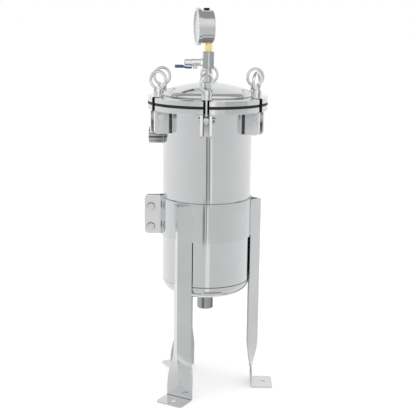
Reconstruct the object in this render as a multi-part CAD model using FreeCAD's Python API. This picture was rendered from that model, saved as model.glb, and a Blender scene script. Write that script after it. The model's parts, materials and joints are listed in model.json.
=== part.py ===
import FreeCAD, Part
import math
import os

# Bag filter housing. Millimetres, +Z up, origin on the floor on the housing's axis.
# The front is -Y: the clamp bolts' heads look that way and one swing bolt stands there.
# Features that repeat around the axis are built at the front and turned about Z.

V = FreeCAD.Vector
os.makedirs("parts", exist_ok=True)

# Clearances
FACE_GAP = 0.3
FIT_GAP = 0.05
CUT_PAST = 1.0
SAME_PLACE = 0.01

# Hexagons are rounded by a turned blank, both sizes as shares of the width across flats
HEX_BLANK_SHARE = 0.555
HEX_CHAMFER_SHARE = 0.05

# Shell and bottom head
SHELL_R = 109.55
SHELL_WALL = 3.0
HEAD_TANGENT_Z = 288.0
HEAD_STRAIGHT = 10.0

# Flanges and gasket
FLANGE_LIP = 12.5
BODY_FLANGE_Z = 714.0
BODY_FLANGE_T = 13.5
GASKET_T = 5.0
GASKET_INSET = 0.5
LID_FLANGE_T = 14.5
LID_BORE_INSET = 11.5
RIM_BEVEL_W = 8.5
RIM_BEVEL_DROP = 1.8
EDGE_CHAMFER = 1.0

# Swing bolts, their lugs, pins and eye nuts
BOLT_COUNT = 6
BOLT_START_DEG = -1.2
BOLT_REACH = 25.45
BOLT_R = 6.0
BOLT_TIP_CHAMFER = 1.2
SLOT_W = 14.0
PIN_DROP = 14.0
PIN_R = 5.0
PIN_HEAD_AF = 16.0
PIN_HEAD_T = 4.5
PIN_NUT_T = 7.0
PIN_TAIL = 1.5
LUG_T = 7.0
LUG_LIP = 15.0
LUG_H = 54.0
LUG_CORNER_R = 10.0
LUG_WEB_T = 4.0
BOLT_EYE_R = 12.0
BOLT_EYE_W = 13.4
BOLT_PROUD = 20.7
NUT_BOSS_R = 12.5
NUT_BOSS_H = 14.0
NUT_BOSS_CHAMFER = 1.0
NUT_NECK_R = 8.0
NUT_NECK_H = 23.0
NUT_RING_MID_R = 20.6
NUT_WIRE_R = 3.9
NUT_RING_RISE = 39.2
NUT_BORE_H = 21.0
NUT_TURNS_DEG = (50.0, 65.0, 18.0, 2.0, 22.0, -27.0)

# Side inlet and bottom outlet: one inch half couplings
COUPLING_R = 20.5
COUPLING_BORE_R = 15.2
COUPLING_CHAMFER = 1.5
COUPLING_MOUTH = 2.5
PORT_STEP = 1.2
INLET_DROP = 66.0
INLET_REACH = 34.45
OUTLET_DROP = 83.0

# Support band and its clamp
BAND_T = 3.0
BAND_BOTTOM_Z = 400.0
BAND_TOP_Z = 497.0
EAR_REACH = 41.8
EAR_GAP = 14.0
EAR_BEND_R = 6.0
EAR_CORNER_R = 10.0
CLAMP_BOLT_R = 5.0
CLAMP_BOLT_INSET = 15.6
CLAMP_BOLT_RISES = (18.0, 69.0)
CLAMP_HEAD_AF = 17.0
CLAMP_HEAD_T = 6.4
CLAMP_NUT_T = 8.0
CLAMP_TAIL = 5.0
WASHER_R = 10.0
WASHER_T = 2.0

# Legs: folded angle above, flat web and foot tab below
LEG_NAMES = ("leg_right", "leg_front_left", "leg_back_left")
LEG_START_DEG = 90.0
LEG_T = 3.2
LEG_FLANGE_W = 36.0
LEG_TOP_INSET = 6.0
LEG_REACH = 23.8
LEG_INSET = 13.4
LEG_FOLD_DEG = 45.0
LEG_TAPER_TOP_Z = 118.0
LEG_TAPER_BOTTOM_Z = 26.0
LEG_TAPER_STEPS = 7
FOOT_LENGTH = 52.5
FOOT_BEND_R = 3.0
FOOT_CORNER_R = 7.0
FOOT_HOLE_R = 7.0
FOOT_HOLE_REACH = 28.0

# Lid
DOME_WALL = 3.0
DOME_CROWN_R = 280.0
DOME_KNUCKLE_R = 12.0
DOME_STRAIGHT = 0.5
NECK_R = 10.65
NECK_BORE_R = 6.0
NECK_START_RISE = 22.7
NECK_END_RISE = 65.4
SPIGOT_R = 8.0
SPIGOT_L = 7.0

# Gauge block, a piece of hexagonal bar
BLOCK_AF = 27.0
BLOCK_H = 39.5
BLOCK_CHAMFER = 0.8
BLOCK_BORE_R = 4.0

# Vent valve: lengths along its axis are counted from the housing's axis
VALVE_TURN = -85.0
VALVE_RISE = 13.3
VALVE_R = 8.8
VALVE_HEX_AF = 17.0
VALVE_HEX_START = 14.0
VALVE_START = 19.7
VALVE_STEP = 42.0
VALVE_END = 58.0
VALVE_CHAMFER = 0.8
VALVE_END_R = 7.8
VALVE_END_ROUND = 1.5
VALVE_BORE_R = 3.5
VENT_R = 5.6
VENT_L = 11.0
NIPPLE_R = 6.6
NIPPLE_START = 4.5
BALL_AT = 32.5
BALL_R = 6.0
BALL_FLAT = 5.5
SEAT_PLUG_L = 4.0
GLAND_R = 5.0
VALVE_STEM_R = 3.0
VALVE_STEM_TAIL = 0.4

# Lever and its dipped sleeve: lengths counted from the valve's stem
LEVER_DROP = 13.6
LEVER_T = 2.4
LEVER_W = 9.0
LEVER_HUB_R = 7.0
LEVER_BEND_START = 21.5
LEVER_BEND_END = 27.0
LEVER_RISE = 2.8
LEVER_TIP = 45.0
GRIP_START = 7.6
GRIP_END = 49.0
GRIP_W = 13.0
GRIP_ROOT_T = 5.0
GRIP_T = 7.4
GRIP_ROUND = 1.6
LEVER_NUT_AF = 8.0
LEVER_NUT_T = 2.2

# Gauge stem
STEM_SPIGOT_R = 6.65
STEM_SPIGOT_L = 9.0
STEM_COLLAR_R = 7.5
STEM_COLLAR_T = 3.0
STEM_HEX_AF = 18.0
STEM_HEX_H = 14.5
STEM_NECK_R = 6.0
STEM_NECK_SHOWN = 1.3
STEM_NECK_INSIDE = 8.0
STEM_BORE_R = 2.5

# Gauge, built with its face to the front and then turned to the left
GAUGE_TURN = -79.0
CASE_R = 40.5
CASE_WALL = 1.2
CASE_BACK = 10.5
CASE_BACK_ROUND = 4.0
CASE_FRONT = 23.1
CASE_LIP_W = 3.7
CASE_LIP_T = 1.5
BEZEL_OVERHANG = 4.5
BEZEL_LIP_INSET = 2.5
BEZEL_DEPTH = 7.5
BEZEL_ROUND = 2.5
LENS_OVERHANG = 0.5
LENS_SEAT = 2.6
LENS_T = 2.0
DIAL_INSET = 1.5
DIAL_AT = 20.0
DIAL_T = 1.0
MOVEMENT_W = 30.0
MOVEMENT_TOP = 20.0
POINTER_SHAFT_R = 1.5
POINTER_SHAFT_L = 8.0
POINTER_AT = 22.4
POINTER_T = 0.8
POINTER_HUB_R = 4.0
POINTER_HUB_T = 2.0
POINTER_LONG = 31.0
POINTER_TAIL = 13.0
POINTER_TAIL_W = 3.6
POINTER_TIP_W = 0.8
POINTER_ZERO_DEG = 135.0
PLUG_R = 7.2
PLUG_NECK_R = 5.0
PLUG_NECK_L = 4.0
PLUG_RISE = 3.9
PLUG_ROUND = 1.5
PLUG_AT = 5.7

# Inside: seat ring, basket and bag
SEAT_DROP = 108.0
SEAT_T = 6.0
SEAT_PLAY = 2.5
BASKET_RIM_PLAY = 2.55
BASKET_RIM_W = 20.0
BASKET_RIM_T = 3.0
BASKET_WALL = 1.5
BASKET_FLOOR_T = 2.0
BASKET_BOTTOM_Z = 300.0
BASKET_SLOT_W = 7.0
BASKET_SLOT_H = 58.0
BASKET_SLOT_ROWS = 4
BASKET_SLOT_COLUMNS = 10
BASKET_SLOT_MARGIN = 18.0
BASKET_FLOOR_SLOTS = 6
BASKET_FLOOR_SLOT_R = (30.0, 66.0)
BAG_PLAY = 3.5
BAG_WALL = 2.0
BAG_LIFT = 4.0
BAG_CORNER = 12.0
BAG_RING_INSET = 6.0
BAG_RING_T = 3.5
BAG_HANDLE_RISE = 14.0
BAG_HANDLE_HALF_W = 22.0
BAG_HANDLE_T = 5.0

# Radii and places that follow from the sizes above
HEAD_CROWN_R = 2.0 * SHELL_R
HEAD_KNUCKLE_R = 0.3 * SHELL_R
BOLT_CIRCLE_R = SHELL_R + BOLT_REACH
FLANGE_R = BOLT_CIRCLE_R + FLANGE_LIP
LUG_OUTER_R = BOLT_CIRCLE_R + LUG_LIP
LUG_FACE_X = SLOT_W / 2 + LUG_T
INLET_END_R = SHELL_R + INLET_REACH
BAND_R = SHELL_R + FIT_GAP
BAND_OUT_R = BAND_R + BAND_T
EAR_TIP_R = BAND_OUT_R + EAR_REACH
EAR_FACE_Y = EAR_GAP / 2 + BAND_T
CLAMP_BOLT_X = EAR_TIP_R - CLAMP_BOLT_INSET
LEG_APEX_R = BAND_OUT_R + LEG_REACH
LEG_WEB_R = LEG_APEX_R - LEG_INSET
FOOT_HOLE_CIRCLE_R = LEG_WEB_R + FOOT_HOLE_REACH
DOME_R = SHELL_R
BASKET_RIM_R = SHELL_R - SHELL_WALL - BASKET_RIM_PLAY
BASKET_R = BASKET_RIM_R - BASKET_RIM_W
SEAT_BORE_R = BASKET_R + SEAT_PLAY
BAG_R = BASKET_R - BAG_PLAY
BAG_RING_R = BASKET_RIM_R - BAG_RING_INSET
BEZEL_R = CASE_R + BEZEL_OVERHANG
BEZEL_FRONT = CASE_FRONT + BEZEL_DEPTH
LENS_R = CASE_R + LENS_OVERHANG
DIAL_R = CASE_R - DIAL_INSET

# Levels that follow from the sizes above: drops are counted down from the body flange,
# rises up from the lid flange
PIN_Z = BODY_FLANGE_Z - PIN_DROP
LUG_BOTTOM_Z = BODY_FLANGE_Z - LUG_H
INLET_Z = BODY_FLANGE_Z - INLET_DROP
SEAT_Z = BODY_FLANGE_Z - SEAT_DROP
GASKET_Z = BODY_FLANGE_Z + BODY_FLANGE_T
LID_Z = GASKET_Z + GASKET_T + FACE_GAP
LID_TOP_Z = LID_Z + LID_FLANGE_T
NUT_Z = LID_TOP_Z + FACE_GAP
BOLT_TOP_Z = LID_TOP_Z + BOLT_PROUD
NECK_START_Z = LID_TOP_Z + NECK_START_RISE
BLOCK_Z = LID_TOP_Z + NECK_END_RISE
VALVE_Z = BLOCK_Z + VALVE_RISE
CLAMP_BOLT_ZS = [BAND_BOTTOM_Z + rise for rise in CLAMP_BOLT_RISES]
LEG_TOP_Z = BAND_TOP_Z - LEG_TOP_INSET
OUTLET_END_Z = HEAD_TANGENT_Z - OUTLET_DROP
HEAD_TOP_Z = HEAD_TANGENT_Z + HEAD_STRAIGHT
HEAD_SPAN = math.sqrt((HEAD_CROWN_R - HEAD_KNUCKLE_R) ** 2 - (SHELL_R - HEAD_KNUCKLE_R) ** 2)
HEAD_BOTTOM_Z = HEAD_TANGENT_Z - (HEAD_CROWN_R - HEAD_SPAN)
BLOCK_TOP_Z = BLOCK_Z + BLOCK_H
STEM_HEX_TOP_Z = BLOCK_TOP_Z + STEM_COLLAR_T + STEM_HEX_H
GAUGE_Z = STEM_HEX_TOP_Z + STEM_NECK_SHOWN + CASE_R
STEM_TOP_Z = GAUGE_Z - CASE_R + CASE_WALL + STEM_NECK_INSIDE
LEVER_Z = VALVE_Z - LEVER_DROP
BASKET_RIM_Z = SEAT_Z + SEAT_T + FACE_GAP
BASKET_TOP_Z = BASKET_RIM_Z + BASKET_RIM_T
BAG_RING_Z = BASKET_TOP_Z + FACE_GAP
BAG_TOP_Z = BAG_RING_Z + BAG_RING_T
BAG_BOTTOM_Z = BASKET_BOTTOM_Z + BAG_LIFT


def save(node, *solids):
    shape = solids[0] if len(solids) == 1 else Part.makeCompound(list(solids))
    shape.exportStep("parts/" + node + ".step")


def spin(shape, degrees):
    turned_shape = shape.copy()
    turned_shape.rotate(V(0, 0, 0), V(0, 0, 1), degrees)
    return turned_shape


def bolt_turn(k):
    return BOLT_START_DEG + 360.0 * k / BOLT_COUNT


def around(shape):
    return [spin(shape, bolt_turn(k)) for k in range(BOLT_COUNT)]


def box(x0, x1, y0, y1, z0, z1):
    return Part.makeBox(x1 - x0, y1 - y0, z1 - z0, V(x0, y0, z0))


def rod(radius, start, end):
    start = V(*start)
    along = V(*end) - start
    return Part.makeCylinder(radius, along.Length, start, along)


def tube(r_in, r_out, z0, z1):
    bore = rod(r_in, (0, 0, z0 - CUT_PAST), (0, 0, z1 + CUT_PAST))
    return rod(r_out, (0, 0, z0), (0, 0, z1)).cut(bore)


def same(a, b):
    return abs(a - b) < SAME_PLACE


def end_rims(shape, centre):
    # Circular edges whose centre is the given point.
    return [e for e in shape.Edges if e.Curve.TypeId == "Part::GeomCircle"
            and (e.Curve.Center - V(*centre)).Length < SAME_PLACE]


def slab(points, thickness_axis):
    return Part.Face(Part.makePolygon(points + [points[0]])).extrude(thickness_axis)


def turned(pairs):
    # Turns a closed outline given as (radius, height) pairs about Z.
    return slab_turn([V(r, 0, z) for r, z in pairs])


def slab_turn(points):
    return Part.Face(Part.makePolygon(points + [points[0]])).revolve(V(0, 0, 0), V(0, 0, 1), 360)


def hexagon(across_flats, start, end):
    # Hexagonal prism between two points on one axis.
    start = V(*start)
    along = V(*end) - start
    side = V(0, 0, 1) if abs(along.z) < 0.5 * along.Length else V(1, 0, 0)
    other = along.cross(side)
    other.normalize()
    corner_r = across_flats / math.sqrt(3)
    points = []
    for k in range(6):
        a = math.radians(60 * k)
        points.append(start + side * (corner_r * math.cos(a)) + other * (corner_r * math.sin(a)))
    return slab(points, along)


def soften_hex(prism, across_flats, start, end):
    # Rounds a hexagon's corners with a slightly larger turned blank.
    blank = rod(across_flats * HEX_BLANK_SHARE, start, end)
    edges = [e for e in blank.Edges if e.Curve.TypeId == "Part::GeomCircle"]
    return prism.common(blank.makeChamfer(across_flats * HEX_CHAMFER_SHARE, edges))


def dish(radius, wall, crown_r, knuckle_r, tangent_z, base_z, side):
    # Torispherical head about Z; side is +1 for a lid, -1 for a bottom.
    across = radius - knuckle_r
    drop = math.sqrt((crown_r - knuckle_r) ** 2 - across ** 2)
    crown_z = -drop
    lean = math.asin(across / (crown_r - knuckle_r))

    def at(r, z):
        return V(r, 0, tangent_z + side * z)

    def crown(a, size):
        return at(size * math.sin(a), crown_z + size * math.cos(a))

    def knuckle(a, size):
        return at(across + size * math.sin(a), size * math.cos(a))

    half = (lean + math.pi / 2) / 2
    inner_crown = crown_r - wall
    inner_knuckle = knuckle_r - wall
    edges = [
        Part.makeLine(V(radius - wall, 0, base_z), V(radius, 0, base_z)),
        Part.makeLine(V(radius, 0, base_z), at(radius, 0)),
        Part.Arc(at(radius, 0), knuckle(half, knuckle_r), knuckle(lean, knuckle_r)).toShape(),
        Part.Arc(crown(lean, crown_r), crown(lean / 2, crown_r), crown(0, crown_r)).toShape(),
        Part.makeLine(crown(0, crown_r), crown(0, inner_crown)),
        Part.Arc(crown(0, inner_crown), crown(lean / 2, inner_crown), crown(lean, inner_crown)).toShape(),
        Part.Arc(knuckle(lean, inner_knuckle), knuckle(half, inner_knuckle), at(radius - wall, 0)).toShape(),
        Part.makeLine(at(radius - wall, 0), V(radius - wall, 0, base_z)),
    ]
    outline = Part.Wire(Part.__sortEdges__(edges))
    return Part.Face(outline).revolve(V(0, 0, 0), V(0, 0, 1), 360)


# Welded housing

def make_shell():
    body = tube(SHELL_R - SHELL_WALL, SHELL_R, HEAD_TOP_Z, GASKET_Z)
    # The port is wider than the coupling's bore, so a screwed-in fitting may reach inside.
    port = rod(COUPLING_BORE_R + PORT_STEP, (0, 0, INLET_Z), (-SHELL_R - CUT_PAST, 0, INLET_Z))
    return body.cut(port)


def make_bottom_head():
    head = dish(SHELL_R, SHELL_WALL, HEAD_CROWN_R, HEAD_KNUCKLE_R, HEAD_TANGENT_Z, HEAD_TOP_Z, -1)
    port = rod(COUPLING_BORE_R - PORT_STEP, (0, 0, HEAD_TANGENT_Z), (0, 0, OUTLET_END_Z))
    return head.cut(port)


def slot_cutter(z0, z1):
    well = rod(SLOT_W / 2, (0, -BOLT_CIRCLE_R, z0), (0, -BOLT_CIRCLE_R, z1))
    mouth = box(-SLOT_W / 2, SLOT_W / 2, -FLANGE_R - CUT_PAST, -BOLT_CIRCLE_R, z0, z1)
    return well.fuse(mouth)


def cut_slots(ring, z0, z1):
    for cutter in around(slot_cutter(z0 - CUT_PAST, z1 + CUT_PAST)):
        ring = ring.cut(cutter)
    return ring


def make_body_flange():
    c = EDGE_CHAMFER
    z0, z1 = BODY_FLANGE_Z, GASKET_Z
    r_in = SHELL_R + FIT_GAP
    ring = turned([(r_in, z0), (FLANGE_R - c, z0), (FLANGE_R, z0 + c), (FLANGE_R, z1 - c),
                   (FLANGE_R - c, z1), (r_in, z1)])
    return cut_slots(ring, z0, z1)


def make_gasket():
    # Full face gasket, a little smaller than the flanges so that it shows as a dark line.
    ring = tube(SHELL_R + FIT_GAP, FLANGE_R - GASKET_INSET, GASKET_Z, GASKET_Z + GASKET_T)
    return cut_slots(ring, GASKET_Z, GASKET_Z + GASKET_T)


def half_coupling(start, end):
    # Round forged coupling with a chamfered mouth at its outer end.
    body = rod(COUPLING_R, start, end)
    axis = V(*end) - V(*start)
    axis.normalize()
    body = body.makeChamfer(COUPLING_CHAMFER, end_rims(body, end))
    body = body.cut(rod(COUPLING_BORE_R, start, end))
    m = COUPLING_MOUTH
    return body.cut(Part.makeCone(COUPLING_BORE_R, COUPLING_BORE_R + m, m, V(*end) - axis * m, axis))


def make_inlet():
    body = half_coupling((-SHELL_R + COUPLING_R, 0, INLET_Z), (-INLET_END_R, 0, INLET_Z))
    reach = 2 * COUPLING_R
    return body.cut(rod(SHELL_R + FIT_GAP, (0, 0, INLET_Z - reach), (0, 0, INLET_Z + reach)))


def make_outlet():
    # Starts inside the head's wall and is cut back to the head's outer face.
    top = HEAD_BOTTOM_Z + SHELL_WALL
    body = half_coupling((0, 0, top), (0, 0, OUTLET_END_Z))
    wall = dish(SHELL_R + FIT_GAP, SHELL_WALL * 3, HEAD_CROWN_R + FIT_GAP, HEAD_KNUCKLE_R + FIT_GAP,
                HEAD_TANGENT_Z, HEAD_TOP_Z, -1)
    return body.cut(wall)


def make_lug():
    # Two plates with a pin hole and a web between them, welded to the shell and under the flange.
    inner, outer = -SHELL_R + LUG_T, -LUG_OUTER_R
    profile = [V(0, inner, LUG_BOTTOM_Z), V(0, outer, LUG_BOTTOM_Z),
               V(0, outer, BODY_FLANGE_Z), V(0, inner, BODY_FLANGE_Z)]
    plate = slab(profile, V(LUG_T, 0, 0))
    corner = [e for e in plate.Edges
              if same(e.CenterOfMass.y, outer) and same(e.CenterOfMass.z, LUG_BOTTOM_Z)]
    plate = plate.makeFillet(LUG_CORNER_R, corner)
    reach = LUG_FACE_X + CUT_PAST
    hole = rod(PIN_R + FIT_GAP, (-reach, -BOLT_CIRCLE_R, PIN_Z), (reach, -BOLT_CIRCLE_R, PIN_Z))
    core = rod(SHELL_R + FIT_GAP, (0, 0, LUG_BOTTOM_Z - CUT_PAST), (0, 0, BODY_FLANGE_Z + CUT_PAST))
    web = box(-SLOT_W / 2, SLOT_W / 2, -SHELL_R - LUG_WEB_T, inner, LUG_BOTTOM_Z, BODY_FLANGE_Z)
    pieces = [web.cut(core)]
    for x in (SLOT_W / 2, -SLOT_W / 2 - LUG_T):
        side = plate.copy()
        side.translate(V(x, 0, 0))
        pieces.append(side.cut(hole).cut(core))
    return pieces


def make_pin():
    y = -BOLT_CIRCLE_R
    shank = rod(PIN_R, (-LUG_FACE_X, y, PIN_Z), (LUG_FACE_X + PIN_NUT_T + PIN_TAIL, y, PIN_Z))
    start = (-LUG_FACE_X - PIN_HEAD_T, y, PIN_Z)
    end = (-LUG_FACE_X, y, PIN_Z)
    head = soften_hex(hexagon(PIN_HEAD_AF, start, end), PIN_HEAD_AF, start, end)
    return shank.fuse(head)


def make_pin_nut():
    y = -BOLT_CIRCLE_R
    start = (LUG_FACE_X, y, PIN_Z)
    end = (LUG_FACE_X + PIN_NUT_T, y, PIN_Z)
    nut = soften_hex(hexagon(PIN_HEAD_AF, start, end), PIN_HEAD_AF, start, end)
    return nut.cut(rod(PIN_R + FIT_GAP, (0, y, PIN_Z), (end[0] + CUT_PAST, y, PIN_Z)))


def make_seat_ring():
    r_out = SHELL_R - SHELL_WALL - FIT_GAP
    return tube(SEAT_BORE_R, r_out, SEAT_Z, SEAT_Z + SEAT_T)


# Support band

def ear(side):
    # One ear: a plate bent out of the band, rounded at its two free corners.
    near = side * EAR_GAP / 2
    far = side * (EAR_GAP / 2 + BAND_T)
    root = -math.sqrt(BAND_R ** 2 - (EAR_GAP / 2) ** 2)
    plate = box(-EAR_TIP_R, root - CUT_PAST, min(near, far), max(near, far), BAND_BOTTOM_Z, BAND_TOP_Z)
    tips = [e for e in plate.Edges
            if same(e.CenterOfMass.x, -EAR_TIP_R) and abs(e.tangentAt(0).y) > 0.9]
    return plate.makeFillet(EAR_CORNER_R, tips)


def make_band():
    hoop = tube(BAND_R, BAND_OUT_R, BAND_BOTTOM_Z, BAND_TOP_Z)
    split = box(-EAR_TIP_R, 0, -EAR_GAP / 2, EAR_GAP / 2, BAND_BOTTOM_Z - CUT_PAST, BAND_TOP_Z + CUT_PAST)
    band = hoop.cut(split).fuse([ear(1), ear(-1)]).removeSplitter()
    bends = []
    for edge in band.Edges:
        c = edge.CenterOfMass
        upright = edge.Length > 0.9 * (BAND_TOP_Z - BAND_BOTTOM_Z)
        if upright and same(abs(c.y), EAR_FACE_Y) and same(math.hypot(c.x, c.y), BAND_OUT_R):
            bends.append(edge)
    band = band.makeFillet(EAR_BEND_R, bends)
    for z in CLAMP_BOLT_ZS:
        reach = EAR_FACE_Y + CUT_PAST
        band = band.cut(rod(CLAMP_BOLT_R + FIT_GAP, (-CLAMP_BOLT_X, -reach, z), (-CLAMP_BOLT_X, reach, z)))
    return band


def make_clamp_bolt(z):
    x = -CLAMP_BOLT_X
    top = -EAR_FACE_Y - WASHER_T
    end = EAR_FACE_Y + WASHER_T + CLAMP_NUT_T + CLAMP_TAIL
    shank = rod(CLAMP_BOLT_R, (x, top, z), (x, end, z))
    a, b = (x, top - CLAMP_HEAD_T, z), (x, top, z)
    return shank.fuse(soften_hex(hexagon(CLAMP_HEAD_AF, a, b), CLAMP_HEAD_AF, a, b))


def make_clamp_nut(z):
    x = -CLAMP_BOLT_X
    start = EAR_FACE_Y + WASHER_T
    a, b = (x, start, z), (x, start + CLAMP_NUT_T, z)
    nut = soften_hex(hexagon(CLAMP_HEAD_AF, a, b), CLAMP_HEAD_AF, a, b)
    return nut.cut(rod(CLAMP_BOLT_R + FIT_GAP, (x, 0, z), (x, b[1] + CUT_PAST, z)))


def make_washers(z):
    x = -CLAMP_BOLT_X
    pair = []
    for y0 in (-EAR_FACE_Y - WASHER_T, EAR_FACE_Y):
        disc = rod(WASHER_R, (x, y0, z), (x, y0 + WASHER_T, z))
        hole = rod(CLAMP_BOLT_R + FIT_GAP, (x, y0 - CUT_PAST, z), (x, y0 + WASHER_T + CUT_PAST, z))
        pair.append(disc.cut(hole))
    return pair


# Legs

def leg_section(z):
    # Outline of the folded strip at one height: full fold above, flat below.
    span = LEG_TAPER_TOP_Z - LEG_TAPER_BOTTOM_Z
    t = min(1.0, max(0.0, (z - LEG_TAPER_BOTTOM_Z) / span))
    blend = t * t * (3 - 2 * t)
    fold = math.radians(LEG_FOLD_DEG * blend)
    apex = LEG_WEB_R + (LEG_APEX_R - LEG_WEB_R) * blend
    s, c = math.sin(fold), math.cos(fold)
    edge_r, edge_x = apex - LEG_FLANGE_W * s, LEG_FLANGE_W * c
    in_r, in_x = edge_r - LEG_T * c, edge_x - LEG_T * s
    outline = [(-edge_x, edge_r), (0, apex), (edge_x, edge_r), (in_x, in_r), (0, apex - LEG_T / c), (-in_x, in_r)]
    points = [V(x, -r, z) for x, r in outline]
    return Part.makePolygon(points + [points[0]])


def make_foot():
    # Flat web, bend and foot tab in one strip.
    bend_z = LEG_T + FOOT_BEND_R
    mid_r = LEG_WEB_R + FOOT_BEND_R
    q = math.sqrt(0.5)
    big, small = FOOT_BEND_R + LEG_T, FOOT_BEND_R

    def at(r, z):
        return V(-LEG_FLANGE_W, -r, z)

    edges = [
        Part.makeLine(at(LEG_WEB_R - LEG_T, LEG_TAPER_BOTTOM_Z), at(LEG_WEB_R - LEG_T, bend_z)),
        Part.Arc(at(mid_r - big, bend_z), at(mid_r - big * q, bend_z - big * q), at(mid_r, 0)).toShape(),
        Part.makeLine(at(mid_r, 0), at(LEG_WEB_R + FOOT_LENGTH, 0)),
        Part.makeLine(at(LEG_WEB_R + FOOT_LENGTH, 0), at(LEG_WEB_R + FOOT_LENGTH, LEG_T)),
        Part.makeLine(at(LEG_WEB_R + FOOT_LENGTH, LEG_T), at(mid_r, LEG_T)),
        Part.Arc(at(mid_r, LEG_T), at(mid_r - small * q, bend_z - small * q), at(LEG_WEB_R, bend_z)).toShape(),
        Part.makeLine(at(LEG_WEB_R, bend_z), at(LEG_WEB_R, LEG_TAPER_BOTTOM_Z)),
        Part.makeLine(at(LEG_WEB_R, LEG_TAPER_BOTTOM_Z), at(LEG_WEB_R - LEG_T, LEG_TAPER_BOTTOM_Z)),
    ]
    strip = Part.Face(Part.Wire(Part.__sortEdges__(edges))).extrude(V(2 * LEG_FLANGE_W, 0, 0))
    corners = [e for e in strip.Edges
               if same(e.CenterOfMass.y, -LEG_WEB_R - FOOT_LENGTH) and abs(e.tangentAt(0).z) > 0.9]
    strip = strip.makeFillet(FOOT_CORNER_R, corners)
    y = -FOOT_HOLE_CIRCLE_R
    hole = rod(FOOT_HOLE_R, (0, y, -CUT_PAST), (0, y, LEG_T + CUT_PAST))
    return strip.cut(hole)


def make_leg():
    upper = Part.makeLoft([leg_section(LEG_TOP_Z), leg_section(LEG_TAPER_TOP_Z)], True, True)
    step = (LEG_TAPER_TOP_Z - LEG_TAPER_BOTTOM_Z) / LEG_TAPER_STEPS
    levels = [LEG_TAPER_TOP_Z - k * step for k in range(LEG_TAPER_STEPS + 1)]
    taper = Part.makeLoft([leg_section(z) for z in levels], True, True)
    leg = upper.fuse([taper, make_foot()])
    # The flange edges are coped to the band.
    cope = rod(BAND_OUT_R + FIT_GAP, (0, 0, BAND_BOTTOM_Z - CUT_PAST), (0, 0, LEG_TOP_Z + CUT_PAST))
    return leg.cut(cope)


# Lid

def make_lid_flange():
    c = EDGE_CHAMFER
    z0, z1 = LID_Z, LID_TOP_Z
    bore_r = SHELL_R - LID_BORE_INSET
    ring = turned([(bore_r, z0), (FLANGE_R - c, z0), (FLANGE_R, z0 + c), (FLANGE_R, z1 - RIM_BEVEL_DROP),
                   (FLANGE_R - RIM_BEVEL_W, z1), (bore_r, z1)])
    return cut_slots(ring, z0, z1)


def make_dome():
    tangent_z = LID_TOP_Z + DOME_STRAIGHT
    dome = dish(DOME_R, DOME_WALL, DOME_CROWN_R, DOME_KNUCKLE_R, tangent_z, LID_TOP_Z, 1)
    return dome.cut(rod(NECK_R + FIT_GAP, (0, 0, LID_TOP_Z), (0, 0, BLOCK_Z)))


def make_neck():
    pipe = rod(NECK_R, (0, 0, NECK_START_Z), (0, 0, BLOCK_Z))
    spigot = rod(SPIGOT_R, (0, 0, NECK_START_Z), (0, 0, BLOCK_Z + SPIGOT_L))
    bore = rod(NECK_BORE_R, (0, 0, NECK_START_Z - CUT_PAST), (0, 0, BLOCK_Z + SPIGOT_L + CUT_PAST))
    return pipe.fuse(spigot).cut(bore)


def make_block():
    half = BLOCK_AF / 2
    body = hexagon(BLOCK_AF, (0, 0, BLOCK_Z), (0, 0, BLOCK_TOP_Z))
    body = body.makeChamfer(BLOCK_CHAMFER, body.Edges)
    side = -half - CUT_PAST
    socket = rod(SPIGOT_R + FIT_GAP, (0, 0, BLOCK_Z - CUT_PAST), (0, 0, BLOCK_Z + SPIGOT_L + FIT_GAP))
    bore = rod(BLOCK_BORE_R, (0, 0, BLOCK_Z), (0, 0, BLOCK_TOP_Z))
    stem_hole = rod(STEM_SPIGOT_R + FIT_GAP, (0, 0, BLOCK_TOP_Z - STEM_SPIGOT_L - FIT_GAP),
                    (0, 0, BLOCK_TOP_Z + CUT_PAST))
    side_bore = rod(VALVE_BORE_R, (0, 0, VALVE_Z), (0, side, VALVE_Z))
    side_hole = rod(NIPPLE_R + FIT_GAP, (0, -NIPPLE_START + FIT_GAP, VALVE_Z), (0, side, VALVE_Z))
    for cutter in (socket, bore, stem_hole, side_bore, side_hole):
        body = body.cut(cutter)
    return spin(body, VALVE_TURN)


# Vent valve, built along -Y and turned with the block's face

def along_valve(radius, near, far):
    return rod(radius, (0, -near, VALVE_Z), (0, -far, VALVE_Z))


def below_ball(radius, top, bottom):
    # Upright rod on the valve's stem axis.
    return rod(radius, (0, -BALL_AT, top), (0, -BALL_AT, bottom))


CHAMBER_R = BALL_R + FACE_GAP


def make_valve_body():
    nipple = along_valve(NIPPLE_R, NIPPLE_START, VALVE_START)
    collar = hexagon(VALVE_HEX_AF, (0, -VALVE_HEX_START, VALVE_Z), (0, -VALVE_START, VALVE_Z))
    barrel = along_valve(VALVE_R, VALVE_START, VALVE_STEP)
    ends = end_rims(barrel, (0, -VALVE_START, VALVE_Z)) + end_rims(barrel, (0, -VALVE_STEP, VALVE_Z))
    barrel = barrel.makeChamfer(VALVE_CHAMFER, ends)
    gland = below_ball(GLAND_R, VALVE_Z, LEVER_Z + LEVER_T + FACE_GAP)
    body = nipple.fuse([collar, barrel, gland])
    bore = along_valve(VALVE_BORE_R, NIPPLE_START - CUT_PAST, VALVE_STEP)
    chamber = along_valve(CHAMBER_R, BALL_AT - CHAMBER_R, VALVE_STEP + CUT_PAST)
    stem_hole = below_ball(VALVE_STEM_R + FIT_GAP, VALVE_Z, LEVER_Z)
    for cutter in (bore, chamber, stem_hole):
        body = body.cut(cutter)
    return spin(body, VALVE_TURN)


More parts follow.
